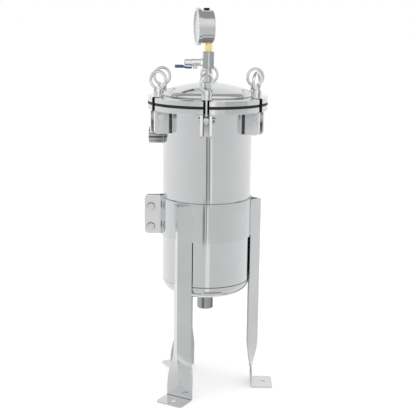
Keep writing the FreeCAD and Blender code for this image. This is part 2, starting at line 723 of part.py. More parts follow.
def make_valve_end():
    # Screwed end piece: its plug holds the ball, its mouth takes the vent hose's fitting.
    body = along_valve(VALVE_END_R, VALVE_STEP, VALVE_END)
    body = body.makeFillet(VALVE_END_ROUND, end_rims(body, (0, -VALVE_END, VALVE_Z)))
    body = body.fuse(along_valve(CHAMBER_R - FIT_GAP, VALVE_STEP - SEAT_PLUG_L, VALVE_STEP))
    bore = along_valve(VALVE_BORE_R, VALVE_STEP - SEAT_PLUG_L - CUT_PAST, VALVE_END)
    mouth = along_valve(VENT_R, VALVE_END - VENT_L, VALVE_END + CUT_PAST)
    seat = Part.makeSphere(CHAMBER_R, V(0, -BALL_AT, VALVE_Z))
    return spin(body.cut(bore).cut(mouth).cut(seat), VALVE_TURN)


def make_ball():
    ball = Part.makeSphere(BALL_R, V(0, -BALL_AT, VALVE_Z))
    bore = along_valve(VALVE_BORE_R, BALL_AT - 2 * BALL_R, BALL_AT + 2 * BALL_R)
    r = 2 * BALL_R
    flat = box(-r, r, -BALL_AT - r, -BALL_AT + r, VALVE_Z - r, VALVE_Z - BALL_FLAT)
    return spin(ball.cut(bore).cut(flat), VALVE_TURN)


def make_valve_stem():
    bottom = LEVER_Z - LEVER_NUT_T - VALVE_STEM_TAIL
    return spin(below_ball(VALVE_STEM_R, VALVE_Z - BALL_FLAT, bottom), VALVE_TURN)


def lever_outline(half_w, tip, low, high):
    # Side outline of the cranked strip, as points at one side of it.
    pairs = [(0, low), (LEVER_BEND_START, low), (LEVER_BEND_END, low + LEVER_RISE), (tip, low + LEVER_RISE),
             (tip, high + LEVER_RISE), (LEVER_BEND_END, high + LEVER_RISE), (LEVER_BEND_START, high), (0, high)]
    return [V(-half_w, -BALL_AT - s, LEVER_Z + z) for s, z in pairs]


def make_lever():
    hub = below_ball(LEVER_HUB_R, LEVER_Z, LEVER_Z + LEVER_T)
    strip = slab(lever_outline(LEVER_W / 2, LEVER_TIP, 0, LEVER_T), V(LEVER_W, 0, 0))
    hole = below_ball(VALVE_STEM_R + FIT_GAP, LEVER_Z - CUT_PAST, LEVER_Z + LEVER_T + CUT_PAST)
    return spin(hub.fuse(strip).cut(hole), VALVE_TURN)


def make_grip():
    # Dipped sleeve: thin below the valve, thicker past its end, closed at the tip.
    mid = LEVER_T / 2
    thin, thick, high = GRIP_ROOT_T / 2, GRIP_T / 2, LEVER_T / 2 + LEVER_RISE
    nose = GRIP_ROUND
    pairs = [(GRIP_START, mid - thin), (LEVER_BEND_START, mid - thin), (LEVER_BEND_END, high - thick),
             (GRIP_END - nose, high - thick), (GRIP_END, high - thick + nose), (GRIP_END, high + thick - nose),
             (GRIP_END - nose, high + thick), (LEVER_BEND_END + nose, high + thick),
             (LEVER_BEND_END, mid + thin + nose), (LEVER_BEND_START, mid + thin), (GRIP_START, mid + thin)]
    side = [V(-GRIP_W / 2, -BALL_AT - s, LEVER_Z + z) for s, z in pairs]
    sleeve = slab(side, V(GRIP_W, 0, 0))
    outline = [e for e in sleeve.Edges if same(abs(e.CenterOfMass.x), GRIP_W / 2)]
    sleeve = sleeve.makeChamfer(GRIP_ROUND, outline)
    g = FIT_GAP
    room = slab(lever_outline(LEVER_W / 2 + g, LEVER_TIP + g, -g, LEVER_T + g), V(LEVER_W + 2 * g, 0, 0))
    return spin(sleeve.cut(room), VALVE_TURN)


def make_lever_nut():
    a, b = (0, -BALL_AT, LEVER_Z - LEVER_NUT_T), (0, -BALL_AT, LEVER_Z)
    nut = soften_hex(hexagon(LEVER_NUT_AF, a, b), LEVER_NUT_AF, a, b)
    hole = below_ball(VALVE_STEM_R + FIT_GAP, a[2] - CUT_PAST, b[2] + CUT_PAST)
    return spin(nut.cut(hole), VALVE_TURN)


# Gauge, its axis along -Y with s counted towards the face

def round_part(radius, s0, s1, z=GAUGE_Z):
    return rod(radius, (0, -s0, z), (0, -s1, z))


def make_gauge_stem():
    z = BLOCK_TOP_Z
    a, b = (0, 0, z + STEM_COLLAR_T), (0, 0, STEM_HEX_TOP_Z)
    spigot = rod(STEM_SPIGOT_R, (0, 0, z - STEM_SPIGOT_L), (0, 0, z))
    collar = rod(STEM_COLLAR_R, (0, 0, z), a)
    nut = soften_hex(hexagon(STEM_HEX_AF, a, b), STEM_HEX_AF, a, b)
    neck = rod(STEM_NECK_R, b, (0, 0, STEM_TOP_Z))
    bore = rod(STEM_BORE_R, (0, 0, z - STEM_SPIGOT_L - CUT_PAST), b)
    return spigot.fuse([collar, nut, neck]).cut(bore)


def make_case():
    can = round_part(CASE_R, -CASE_BACK, CASE_FRONT)
    can = can.makeFillet(CASE_BACK_ROUND, end_rims(can, (0, CASE_BACK, GAUGE_Z)))
    can = can.fuse(round_part(CASE_R + CASE_LIP_W, CASE_FRONT - CASE_LIP_T, CASE_FRONT))
    can = can.cut(round_part(CASE_R - CASE_WALL, -CASE_BACK + CASE_WALL, CASE_FRONT + CUT_PAST))
    past = CASE_R + 2 * CUT_PAST
    neck_hole = rod(STEM_NECK_R + FIT_GAP, (0, 0, GAUGE_Z), (0, 0, GAUGE_Z - past))
    plug_hole = rod(PLUG_NECK_R + FIT_GAP, (0, -PLUG_AT, GAUGE_Z), (0, -PLUG_AT, GAUGE_Z + past))
    return can.cut(neck_hole).cut(plug_hole)


def make_bezel():
    ring = round_part(BEZEL_R, CASE_FRONT, BEZEL_FRONT)
    ring = ring.makeFillet(BEZEL_ROUND, end_rims(ring, (0, -BEZEL_FRONT, GAUGE_Z)))
    ring = ring.cut(round_part(CASE_R - BEZEL_LIP_INSET, CASE_FRONT - CUT_PAST, BEZEL_FRONT + CUT_PAST))
    return ring.cut(round_part(LENS_R + FIT_GAP, CASE_FRONT - CUT_PAST, BEZEL_FRONT - LENS_SEAT))


def make_lens():
    front = BEZEL_FRONT - LENS_SEAT
    return round_part(LENS_R, front - LENS_T, front)


def make_dial():
    disc = round_part(DIAL_R, DIAL_AT, DIAL_AT + DIAL_T)
    return disc.cut(round_part(POINTER_SHAFT_R + FACE_GAP, DIAL_AT - CUT_PAST, DIAL_AT + DIAL_T + CUT_PAST))


def make_movement():
    half = MOVEMENT_W / 2
    back = CASE_BACK - CASE_WALL
    body = box(-half, half, -DIAL_AT, back, STEM_TOP_Z, GAUGE_Z + MOVEMENT_TOP)
    return body.cut(round_part(POINTER_SHAFT_R + FIT_GAP, POINTER_AT - POINTER_SHAFT_L - CUT_PAST, DIAL_AT))


def make_pointer():
    # Shaft, hub and tapered hand, resting on zero at the lower left of the dial.
    shaft = round_part(POINTER_SHAFT_R, POINTER_AT - POINTER_SHAFT_L, POINTER_AT + POINTER_T)
    hub = round_part(POINTER_HUB_R, POINTER_AT, POINTER_AT + POINTER_HUB_T)
    tail, tip = POINTER_TAIL_W / 2, POINTER_TIP_W / 2
    low, high = GAUGE_Z - POINTER_TAIL, GAUGE_Z + POINTER_LONG
    hand = slab([V(-tail, -POINTER_AT, low), V(tail, -POINTER_AT, low),
                 V(tip, -POINTER_AT, high), V(-tip, -POINTER_AT, high)], V(0, -POINTER_T, 0))
    whole = shaft.fuse([hub, hand])
    whole.rotate(V(0, 0, GAUGE_Z), V(0, -1, 0), POINTER_ZERO_DEG)
    return spin(whole, GAUGE_TURN)


def make_plug():
    top = GAUGE_Z + CASE_R
    head = rod(PLUG_R, (0, -PLUG_AT, GAUGE_Z), (0, -PLUG_AT, top + PLUG_RISE))
    head = head.makeFillet(PLUG_ROUND, end_rims(head, (0, -PLUG_AT, top + PLUG_RISE)))
    head = head.cut(round_part(CASE_R + FIT_GAP, -CASE_BACK - PLUG_R, CASE_FRONT))
    neck = rod(PLUG_NECK_R, (0, -PLUG_AT, top - PLUG_NECK_L), (0, -PLUG_AT, top + CUT_PAST))
    return head.fuse(neck)


# Swing bolts and eye nuts

def make_swing_bolt():
    y = -BOLT_CIRCLE_R
    r, half = BOLT_EYE_R, BOLT_EYE_W / 2
    ball = Part.makeSphere(r, V(0, y, PIN_Z))
    eye = ball.common(box(-half, half, y - r, y + r, PIN_Z - r, PIN_Z + r))
    shank = rod(BOLT_R, (0, y, PIN_Z), (0, y, BOLT_TOP_Z))
    shank = shank.makeChamfer(BOLT_TIP_CHAMFER, end_rims(shank, (0, y, BOLT_TOP_Z)))
    reach = half + CUT_PAST
    hole = rod(PIN_R + FIT_GAP, (-reach, y, PIN_Z), (reach, y, PIN_Z))
    return eye.fuse(shank).cut(hole)


def make_eye_nut(ring_turn):
    r, c, neck_z = NUT_BOSS_R, NUT_BOSS_CHAMFER, NUT_Z + NUT_NECK_H
    boss = turned([(0, NUT_Z), (r - c, NUT_Z), (r, NUT_Z + c), (r, NUT_Z + NUT_BOSS_H), (NUT_NECK_R, neck_z),
                   (0, neck_z)])
    ring = Part.makeTorus(NUT_RING_MID_R, NUT_WIRE_R, V(0, 0, 0), V(0, 1, 0))
    ring.translate(V(0, 0, NUT_Z + NUT_RING_RISE))
    nut = boss.fuse(ring)
    nut = nut.cut(rod(BOLT_R + FIT_GAP, (0, 0, NUT_Z - CUT_PAST), (0, 0, NUT_Z + NUT_BORE_H)))
    nut.rotate(V(0, 0, 0), V(0, 0, 1), ring_turn)
    nut.translate(V(0, -BOLT_CIRCLE_R, 0))
    return nut


# Basket and bag

def make_basket():
    z0 = BASKET_BOTTOM_Z
    floor_z = z0 + BASKET_FLOOR_T
    cup = rod(BASKET_R, (0, 0, z0), (0, 0, BASKET_TOP_Z))
    cup = cup.cut(rod(BASKET_R - BASKET_WALL, (0, 0, floor_z), (0, 0, BASKET_TOP_Z + CUT_PAST)))
    pitch = (BASKET_TOP_Z - z0 - BASKET_SLOT_MARGIN) / BASKET_SLOT_ROWS
    half, past = BASKET_SLOT_W / 2, BASKET_R + CUT_PAST
    for row in range(BASKET_SLOT_ROWS):
        low = z0 + BASKET_SLOT_MARGIN + row * pitch
        bar = box(-half, half, -past, past, low, low + BASKET_SLOT_H)
        for k in range(BASKET_SLOT_COLUMNS // 2):
            cup = cup.cut(spin(bar, 360.0 * k / BASKET_SLOT_COLUMNS))
    inner, outer = BASKET_FLOOR_SLOT_R
    floor_slot = box(-half, half, inner, outer, z0 - CUT_PAST, floor_z + CUT_PAST)
    for k in range(BASKET_FLOOR_SLOTS):
        cup = cup.cut(spin(floor_slot, 360.0 * k / BASKET_FLOOR_SLOTS))
    return cup


def make_basket_rim():
    return tube(BASKET_R + FIT_GAP, BASKET_RIM_R, BASKET_RIM_Z, BASKET_TOP_Z)


def make_bag():
    # Felt sleeve with a rounded closed bottom, its top level with the ring's.
    r, w, c, z0 = BAG_R, BAG_WALL, BAG_CORNER, BAG_BOTTOM_Z
    outside = [(0, z0), (r - c, z0), (r - c / 4, z0 + c / 3), (r, z0 + c), (r, BAG_TOP_Z)]
    inside = [(r - w, BAG_TOP_Z), (r - w, z0 + c + w / 2), (r - w - c / 5, z0 + c / 2), (r - c - w / 2, z0 + w),
              (0, z0 + w)]
    return turned(outside + inside)


def make_bag_ring():
    ring = tube(BAG_R + FIT_GAP, BAG_RING_R, BAG_RING_Z, BAG_TOP_Z)
    w, t, top = BAG_HANDLE_HALF_W, BAG_HANDLE_T, BAG_TOP_Z + BAG_HANDLE_RISE
    mid = (BAG_R + BAG_RING_R) / 2
    arch = box(-w, w, -mid - t / 2, -mid + t / 2, BAG_RING_Z, top)
    grip_hole = box(-w + t, w - t, -mid - t, -mid + t, BAG_TOP_Z, top - t + CUT_PAST)
    arch = arch.cut(grip_hole)
    return ring.fuse([arch, spin(arch, 180)])


# Every node is written here

save("shell", make_shell())
save("bottom_head", make_bottom_head())
save("body_flange", make_body_flange())
save("inlet_coupling", make_inlet())
save("outlet_coupling", make_outlet())
save("bag_seat_ring", make_seat_ring())
save("lid_gasket", make_gasket())

lug = make_lug()
for k in range(BOLT_COUNT):
    turn = bolt_turn(k)
    save("lug_pair_%d" % (k + 1), *[spin(p, turn) for p in lug])
    save("swing_bolt_%d" % (k + 1), spin(make_swing_bolt(), turn))
    save("eye_nut_%d" % (k + 1), spin(make_eye_nut(NUT_TURNS_DEG[k] - turn), turn))
save("lug_pins", *around(make_pin()))
save("lug_pin_nuts", *around(make_pin_nut()))

save("support_band", make_band())
save("clamp_bolts", *[make_clamp_bolt(z) for z in CLAMP_BOLT_ZS])
save("clamp_nuts", *[make_clamp_nut(z) for z in CLAMP_BOLT_ZS])
save("clamp_washers", *[w for z in CLAMP_BOLT_ZS for w in make_washers(z)])
leg = make_leg()
for k, name in enumerate(LEG_NAMES):
    save(name, spin(leg, LEG_START_DEG - 120.0 * k))

save("lid_flange", make_lid_flange())
save("lid_dome", make_dome())
save("lid_neck", make_neck())
save("gauge_block", make_block())
save("valve_body", make_valve_body())
save("valve_end", make_valve_end())
save("valve_ball", make_ball())
save("valve_stem", make_valve_stem())
save("valve_lever", make_lever())
save("lever_grip", make_grip())
save("lever_nut", make_lever_nut())

save("gauge_stem", make_gauge_stem())
save("gauge_case", spin(make_case(), GAUGE_TURN))
save("gauge_bezel", spin(make_bezel(), GAUGE_TURN))
save("gauge_lens", spin(make_lens(), GAUGE_TURN))
save("gauge_dial", spin(make_dial(), GAUGE_TURN))
save("gauge_movement", spin(make_movement(), GAUGE_TURN))
save("gauge_pointer", make_pointer())
save("gauge_fill_plug", spin(make_plug(), GAUGE_TURN))

save("basket", make_basket())
save("basket_rim", make_basket_rim())
save("filter_bag", make_bag())
save("bag_ring", make_bag_ring())
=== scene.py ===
import json
import math

import bmesh
import bpy
from mathutils import Matrix, Vector


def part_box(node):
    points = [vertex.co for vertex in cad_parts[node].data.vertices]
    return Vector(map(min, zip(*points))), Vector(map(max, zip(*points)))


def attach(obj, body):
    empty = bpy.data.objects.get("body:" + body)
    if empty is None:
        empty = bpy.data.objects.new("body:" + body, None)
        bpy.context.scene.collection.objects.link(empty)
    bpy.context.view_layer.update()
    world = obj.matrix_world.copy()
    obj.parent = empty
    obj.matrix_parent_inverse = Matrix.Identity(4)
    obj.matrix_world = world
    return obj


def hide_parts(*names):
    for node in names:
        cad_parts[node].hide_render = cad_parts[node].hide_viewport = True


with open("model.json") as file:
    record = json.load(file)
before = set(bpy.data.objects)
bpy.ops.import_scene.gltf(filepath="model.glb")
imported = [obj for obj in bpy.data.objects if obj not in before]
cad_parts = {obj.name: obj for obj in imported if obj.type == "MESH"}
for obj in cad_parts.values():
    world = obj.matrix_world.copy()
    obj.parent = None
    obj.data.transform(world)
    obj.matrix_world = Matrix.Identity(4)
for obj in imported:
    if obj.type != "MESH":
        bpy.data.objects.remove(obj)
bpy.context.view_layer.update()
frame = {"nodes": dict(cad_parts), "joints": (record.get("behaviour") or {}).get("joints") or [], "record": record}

# Bag filter housing: its finishes, welds, dial print, lens seal and felt bag, and the studio round it.
# Metres and +Z up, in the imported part's own frame. The front is -Y.


# Sizes and places that the frame gives

def low_corner(node):
    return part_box(node)[0]


def high_corner(node):
    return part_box(node)[1]


JOINTS = {joint["name"]: joint for joint in frame["joints"]}
MOUNTS = {mount["name"]: mount for mount in frame["record"]["mounts"]}

SHELL_R = high_corner("shell").x
SHELL_FOOT = low_corner("shell").z
HEAD_BOTTOM = low_corner("bottom_head").z
COUPLING_R = high_corner("outlet_coupling").x
INLET_Z = MOUNTS["inlet"]["pos_m"][2]
FLANGE_UNDER = low_corner("body_flange").z
LID_TOP = high_corner("lid_flange").z
DOME_TOP = high_corner("lid_dome").z
NECK_R = high_corner("lid_neck").x
LUG_FOOT = low_corner("lug_pair_1").z
BAND_R = high_corner("support_band").x
BAND_FOOT = low_corner("support_band").z
BAND_TOP = high_corner("support_band").z
LEG_TOP = high_corner("leg_right").z
BAG_R = high_corner("filter_bag").x
BAG_FOOT = low_corner("filter_bag").z
BAG_TOP = high_corner("filter_bag").z

# The front bolt's pin stands a little left of the middle, and the others follow at equal turns.
PIN_X, PIN_Y = JOINTS["bolt_1_swing"]["pos_m"][:2]
PIN_CIRCLE_R = math.hypot(PIN_X, PIN_Y)
PIN_TURN = math.atan2(PIN_X, -PIN_Y)
BOLTS = 6
LEGS = 3

# The pointer turns about the gauge's axis, which looks away from the dial's face.
GAUGE_CENTRE = JOINTS["pointer_turn"]["pos_m"]
GAUGE_AXIS = JOINTS["pointer_turn"]["axis"]
GAUGE_TURN = math.atan2(-GAUGE_AXIS[0], GAUGE_AXIS[1])
# Places on the gauge's face: x to its right, y up and z out of the dial, from its centre.
GAUGE_FACE = (Matrix.Translation(GAUGE_CENTRE) @ Matrix.Rotation(GAUGE_TURN, 4, "Z")
              @ Matrix.Rotation(math.pi / 2, 4, "X"))


# Colours and shader nodes

WHITE = (1.0, 1.0, 1.0, 1.0)


def srgb(text):
    """Linear colour from an sRGB hex string."""
    def channel(v):
        v /= 255
        return v / 12.92 if v <= 0.04045 else ((v + 0.055) / 1.055) ** 2.4
    return tuple(channel(int(text[i:i + 2], 16)) for i in (0, 2, 4)) + (1.0,)


def plug(tree, node, inputs):
    """Sets each named socket to its constant, or links it to its source."""
    for key, value in inputs.items():
        if isinstance(value, bpy.types.NodeSocket):
            tree.links.new(value, node.inputs[key])
        else:
            node.inputs[key].default_value = value


def add(tree, kind, inputs=None, **settings):
    """Adds a shader node with its settings, constants and incoming links."""
    node = tree.nodes.new(kind)
    for key, value in settings.items():
        setattr(node, key, value)
    plug(tree, node, inputs or {})
    return node


def empty_tree(owner):
    """The cleared node tree of a material or world."""
    owner.use_nodes = True
    owner.node_tree.nodes.clear()
    return owner.node_tree


def material(name):
    """A new material with its tree, its surface shader and its output."""
    m = bpy.data.materials.new(name)
    tree = empty_tree(m)
    surface = add(tree, "ShaderNodeBsdfPrincipled")
    end = add(tree, "ShaderNodeOutputMaterial", {"Surface": surface.outputs[0]})
    return m, tree, surface, end


def calc(tree, operation, a, b=None):
    inputs = {0: a} if b is None else {0: a, 1: b}
    return add(tree, "ShaderNodeMath", inputs, operation=operation).outputs[0]


def inverse(tree, mask):
    return calc(tree, "SUBTRACT", 1.0, mask)


def between(tree, value, start, end):
    """1 where the value is inside the range, else 0."""
    after = calc(tree, "GREATER_THAN", value, start)
    return calc(tree, "MULTIPLY", after, calc(tree, "LESS_THAN", value, end))


def span(tree, value, low, high, to_low=0.0, to_high=1.0):
    """The value's range from low to high, stretched to another one and held at its ends."""
    return add(tree, "ShaderNodeMapRange", {"Value": value, "From Min": low, "From Max": high,
                                            "To Min": to_low, "To Max": to_high}).outputs[0]


def vector(tree, operation, a, b=None):
    """Vector arithmetic; a length or a dot product comes out as a number."""
    inputs = {0: a} if b is None else {0: a, 1: b}
    node = add(tree, "ShaderNodeVectorMath", inputs, operation=operation)
    return node.outputs["Value" if operation in ("LENGTH", "DOT_PRODUCT") else "Vector"]


def mix_colours(tree, factor, a, b):
    """Colour between a and b; the mix node's colours go in at 6 and 7 and come out at 2."""
    return add(tree, "ShaderNodeMix", {0: factor, 6: a, 7: b}, data_type="RGBA").outputs[2]


def spot(tree):
    """Object coordinates, in metres."""
    return add(tree, "ShaderNodeTexCoord").outputs["Object"]


def xyz(tree):
    return add(tree, "ShaderNodeSeparateXYZ", {0: spot(tree)}).outputs


def flat_spot(tree):
    """Object coordinates with Z left out: the way from the housing's axis."""
    return vector(tree, "MULTIPLY", spot(tree), (1, 1, 0))


def radius_about_z(tree):
    return vector(tree, "LENGTH", flat_spot(tree))


def outward(tree, way):
    """How far the surface looks along a given way: the dot product with its normal."""
    return vector(tree, "DOT_PRODUCT", way, add(tree, "ShaderNodeTexCoord").outputs["Normal"])


def place(tree, stretch=(1, 1, 1)):
    """Object coordinates with a different scale along each axis."""
    return add(tree, "ShaderNodeMapping", {"Vector": spot(tree), "Scale": stretch}).outputs[0]


def noise(tree, at, scale, detail, rough=0.55):
    return add(tree, "ShaderNodeTexNoise",
               {"Vector": at, "Scale": scale, "Detail": detail, "Roughness": rough}).outputs["Fac"]


def slow_noise(tree):
    """A change about every hand's width."""
    return noise(tree, place(tree), 9.0, 4.0)


def blend(tree, a, b, share):
    """Two noises in one, the first with the given share."""
    return calc(tree, "ADD", calc(tree, "MULTIPLY", a, share), calc(tree, "MULTIPLY", b, 1.0 - share))


def shade(tree, tone, dark, light):
    """Colour between two hex strings, over the range that a noise mostly keeps to."""
    return mix_colours(tree, span(tree, tone, 0.3, 0.7), srgb(dark), srgb(light))


def gloss(tree, tone, low, high):
    """Roughness between two values, over the same range."""
    return span(tree, tone, 0.3, 0.7, low, high)


def smudged(tree, fine, slow, low, high, smudge):
    """Roughness of polished metal: uneven with its lines, and duller by up to smudge in faint patches."""
    return calc(tree, "ADD", gloss(tree, fine, low, high), span(tree, slow, 0.5, 0.8, 0.0, smudge))


def bump(tree, surface, height, strength, distance):
    node = add(tree, "ShaderNodeBump", {"Height": height, "Strength": strength, "Distance": distance})
    plug(tree, surface, {"Normal": node.outputs[0]})


def polish_bump(tree, surface, lines):
    """The hundredth of a millimetre that polishing leaves."""
    bump(tree, surface, lines, 0.12, 0.00001)


def sector_angle(tree, first, count):
    """Angle about the housing's axis from the nearest of count equal turns, the first counted from +X."""
    x, y, _ = xyz(tree)
    half = math.pi / count
    around = calc(tree, "ADD", calc(tree, "ARCTAN2", y, x), half - first)
    return calc(tree, "SUBTRACT", calc(tree, "FLOORED_MODULO", around, 2 * half), half)


def across_slot(tree, radius):
    """Distance from the middle line of the nearest bolt slot, in metres."""
    angle = sector_angle(tree, PIN_TURN - math.pi / 2, BOLTS)
    return calc(tree, "ABSOLUTE", calc(tree, "MULTIPLY", calc(tree, "SINE", angle), radius))


# Materials

def steel(name, light, dark, rough, lines, line_scale, smudge=0.03):
    """Polished stainless steel: fine polishing lines, faint smudges and a slow change of tone."""
    m, tree, surface, _ = material(name)
    fine = noise(tree, place(tree, lines), line_scale, 2.0)
    slow = slow_noise(tree)
    plug(tree, surface, {"Base Color": shade(tree, blend(tree, fine, slow, 0.35), dark, light),
                         "Roughness": smudged(tree, fine, slow, rough * 0.75, rough * 1.25, smudge),
                         "Metallic": 1.0})
    polish_bump(tree, surface, fine)
    return m


# Half the bolt slots' width with their walls, and the distance from the axis where they start
SLOT_HALF_W = 0.0073
SLOT_START_R = PIN_CIRCLE_R - 0.0075


def turned_steel(name, light, dark, rough, pitch, cut_slot_shade_colour):
    """Lathe-turned steel with concentric tool marks about the housing's axis, and mill-cut bolt slots that are
    rougher and painted near black as the shade inside the slots.
    """
    m, tree, surface, _ = material(name)
    r = radius_about_z(tree)
    rings = noise(tree, add(tree, "ShaderNodeCombineXYZ", {"X": r}).outputs[0], 1.0 / pitch, 1.0)
    tone = blend(tree, rings, noise(tree, place(tree), 14.0, 3.0), 0.5)
    # Painted shade: the bolt slots' walls are coloured near black, and made rougher as mill-cut.
    cut_slot_shade = calc(tree, "MULTIPLY", calc(tree, "LESS_THAN", across_slot(tree, r), SLOT_HALF_W),
                  calc(tree, "GREATER_THAN", r, SLOT_START_R))
    turned = shade(tree, tone, dark, light)
    roughness = calc(tree, "MAXIMUM", gloss(tree, tone, rough * 0.8, rough * 1.3),
                     calc(tree, "MULTIPLY", cut_slot_shade, 0.45))
    plug(tree, surface, {"Base Color": mix_colours(tree, cut_slot_shade, turned, srgb(cut_slot_shade_colour)),
                         "Roughness": roughness, "Metallic": 1.0})
    bump(tree, surface, rings, 0.15, 0.00002)
    return m


BLOCK_ACROSS_FLATS = 0.027


def hexagon_bar(name, light, dark, corner_polish_and_highlight_colour):
    """Drawn hexagonal bar: matt satin faces, and corners polished smoother and painted bright as a highlight."""
    m, tree, surface, _ = material(name)
    fine = noise(tree, place(tree, (300, 300, 14)), 1.0, 2.0)
    corner_r = BLOCK_ACROSS_FLATS / math.sqrt(3)
    # Painted highlight: the corners are coloured near white, and their roughness is lower.
    corner_polish_and_highlight = span(tree, radius_about_z(tree), corner_r - 0.0007, corner_r - 0.0003)
    faces = shade(tree, fine, dark, light)
    plug(tree, surface, {"Base Color": mix_colours(tree, corner_polish_and_highlight, faces, srgb(corner_polish_and_highlight_colour)),
                         "Roughness": span(tree, corner_polish_and_highlight, 0.0, 1.0, 0.30, 0.10), "Metallic": 1.0})
    polish_bump(tree, surface, fine)
    return m


THREAD_PITCH = 0.00175
THREAD_START = FLANGE_UNDER + 0.002


def threaded_steel(name, light, dark, rough):
    """Bright bolt steel with thread turns from the flange up."""
    m, tree, surface, _ = material(name)
    z = xyz(tree)[2]
    turns = calc(tree, "SINE", calc(tree, "MULTIPLY", z, 2 * math.pi / THREAD_PITCH))
    tone = noise(tree, place(tree), 40.0, 3.0)
    plug(tree, surface, {"Base Color": shade(tree, tone, dark, light),
                         "Roughness": gloss(tree, tone, rough * 0.8, rough * 1.3), "Metallic": 1.0})
    threads = calc(tree, "MULTIPLY", turns, calc(tree, "GREATER_THAN", z, THREAD_START))
    bump(tree, surface, threads, 0.5, 0.0003)
    return m


# Levels between which the painted shadow in the gap between leg and shell grows, and where it ends under the band
GAP_SHADE_STARTS, GAP_SHADE_FULL, GAP_SHADE_ENDS = 0.275, 0.305, BAND_FOOT + 0.002


def folded_strip(name, light, dark, inside, gap_shade_colour):
    """Polished strip whose side towards the housing's axis keeps the mill's matt finish, and is painted near black
    as the shadow in the gap just below the band."""
    m, tree, surface, _ = material(name)
    fine = noise(tree, place(tree, (300, 300, 8)), 1.0, 2.0)
    slow = slow_noise(tree)
    inner = calc(tree, "LESS_THAN", outward(tree, flat_spot(tree)), -0.01)
    z = xyz(tree)[2]
    # Painted shadow: the inner faces turn near black in the gap between leg and shell, below the band.
    gap_shade = span(tree, z, GAP_SHADE_STARTS, GAP_SHADE_FULL)
    gap_shade = calc(tree, "MULTIPLY", gap_shade, calc(tree, "LESS_THAN", z, GAP_SHADE_ENDS))
    inner_finish_and_shade = mix_colours(tree, gap_shade, srgb(inside), srgb(gap_shade_colour))
    roughness = calc(tree, "MAXIMUM", smudged(tree, fine, slow, 0.10, 0.16, 0.05),
                     calc(tree, "MULTIPLY", inner, 0.55))
    plug(tree, surface, {"Base Color": mix_colours(tree, inner, shade(tree, slow, dark, light), inner_finish_and_shade),
                         "Roughness": roughness, "Metallic": inverse(tree, inner)})
    polish_bump(tree, surface, fine)
    return m


EARS_START_X = -BAND_R - 0.0039
# Above this level the band's top edge is painted darker as a shade line.
ROLLED_EDGE_Z = BAND_TOP - 0.0015
BEHIND_LEG = math.radians(11.5)


def clamp_band(name, light, dark, ear, edge):
    """Polished band with satin ears, a rolled top edge painted darker as a shade line, and the mill's matt finish
    behind the legs.
    """
    m, tree, surface, _ = material(name)
    fine = noise(tree, place(tree, (260, 260, 12)), 1.0, 2.0)
    slow = slow_noise(tree)
    x, _, z = xyz(tree)
    satin = calc(tree, "LESS_THAN", x, EARS_START_X)
    # Painted shade: the top edge, ears left out, is coloured darker as a shade line.
    rim = calc(tree, "MULTIPLY", calc(tree, "GREATER_THAN", z, ROLLED_EDGE_Z), inverse(tree, satin))
    colour = mix_colours(tree, satin, shade(tree, slow, dark, light), srgb(ear))
    roughness = calc(tree, "MAXIMUM", smudged(tree, fine, slow, 0.05, 0.08, 0.02),
                     calc(tree, "MULTIPLY", satin, 0.36))
    behind = calc(tree, "LESS_THAN", calc(tree, "ABSOLUTE", sector_angle(tree, 0.0, LEGS)), BEHIND_LEG)
    plug(tree, surface, {"Base Color": mix_colours(tree, rim, colour, srgb(edge)),
                         "Roughness": roughness, "Metallic": inverse(tree, behind)})
    polish_bump(tree, surface, fine)
    return m


CASE_INSIDE_R = 0.0399


def gauge_steel(name, light, dark, inside):
    """Polished gauge case and bezel, enamelled pale inside where it rings the dial."""
    m, tree, surface, _ = material(name)
    fine = noise(tree, place(tree, (120, 120, 120)), 5.0, 2.0)
    from_centre = vector(tree, "SUBTRACT", spot(tree), GAUGE_CENTRE)
    off_axis = vector(tree, "LENGTH", vector(tree, "CROSS_PRODUCT", from_centre, GAUGE_AXIS))
    enamel = calc(tree, "LESS_THAN", off_axis, CASE_INSIDE_R)
    polished = shade(tree, slow_noise(tree), dark, light)
    roughness = calc(tree, "MAXIMUM", gloss(tree, fine, 0.09, 0.15), calc(tree, "MULTIPLY", enamel, 0.4))
    plug(tree, surface, {"Base Color": mix_colours(tree, enamel, polished, srgb(inside)),
                         "Roughness": roughness, "Metallic": inverse(tree, enamel)})
    polish_bump(tree, surface, fine)
    return m


# The outer edges are ground up to this X, and the painted shade in the corner lies this far from the slot's
# middle.
GROUND_UP_TO_X = 0.09
CORNER_FROM, CORNER_TO = 0.0058, 0.0079


def lug_plate(name, light, dark, edge, corner):
    """Satin lug plates with bright ground outer edges, left satin far out on the right, and with painted shade, a
    dark line in the corner beside the slot."""
    m, tree, surface, _ = material(name)
    tone = noise(tree, place(tree), 40.0, 3.0)
    facing = outward(tree, vector(tree, "NORMALIZE", flat_spot(tree)))
    ground = calc(tree, "MULTIPLY", calc(tree, "GREATER_THAN", facing, 0.9),
                  calc(tree, "LESS_THAN", xyz(tree)[0], GROUND_UP_TO_X))
    across = across_slot(tree, radius_about_z(tree))
    # Painted shade: a dark line in the corner beside the slot, on the ground faces.
    corners = calc(tree, "MULTIPLY", ground, between(tree, across, CORNER_FROM, CORNER_TO))
    faces = mix_colours(tree, ground, shade(tree, tone, dark, light), srgb(edge))
    plug(tree, surface, {"Base Color": mix_colours(tree, corners, faces, srgb(corner)),
                         "Roughness": gloss(tree, tone, 0.28, 0.38),
                         "Metallic": span(tree, ground, 0.0, 1.0, 1.0, 0.45)})
    polish_bump(tree, surface, tone)
    return m


# X between which painted shade darkens the inlet towards the shell
INLET_BRIGHT, INLET_DARK = -0.134, -0.116


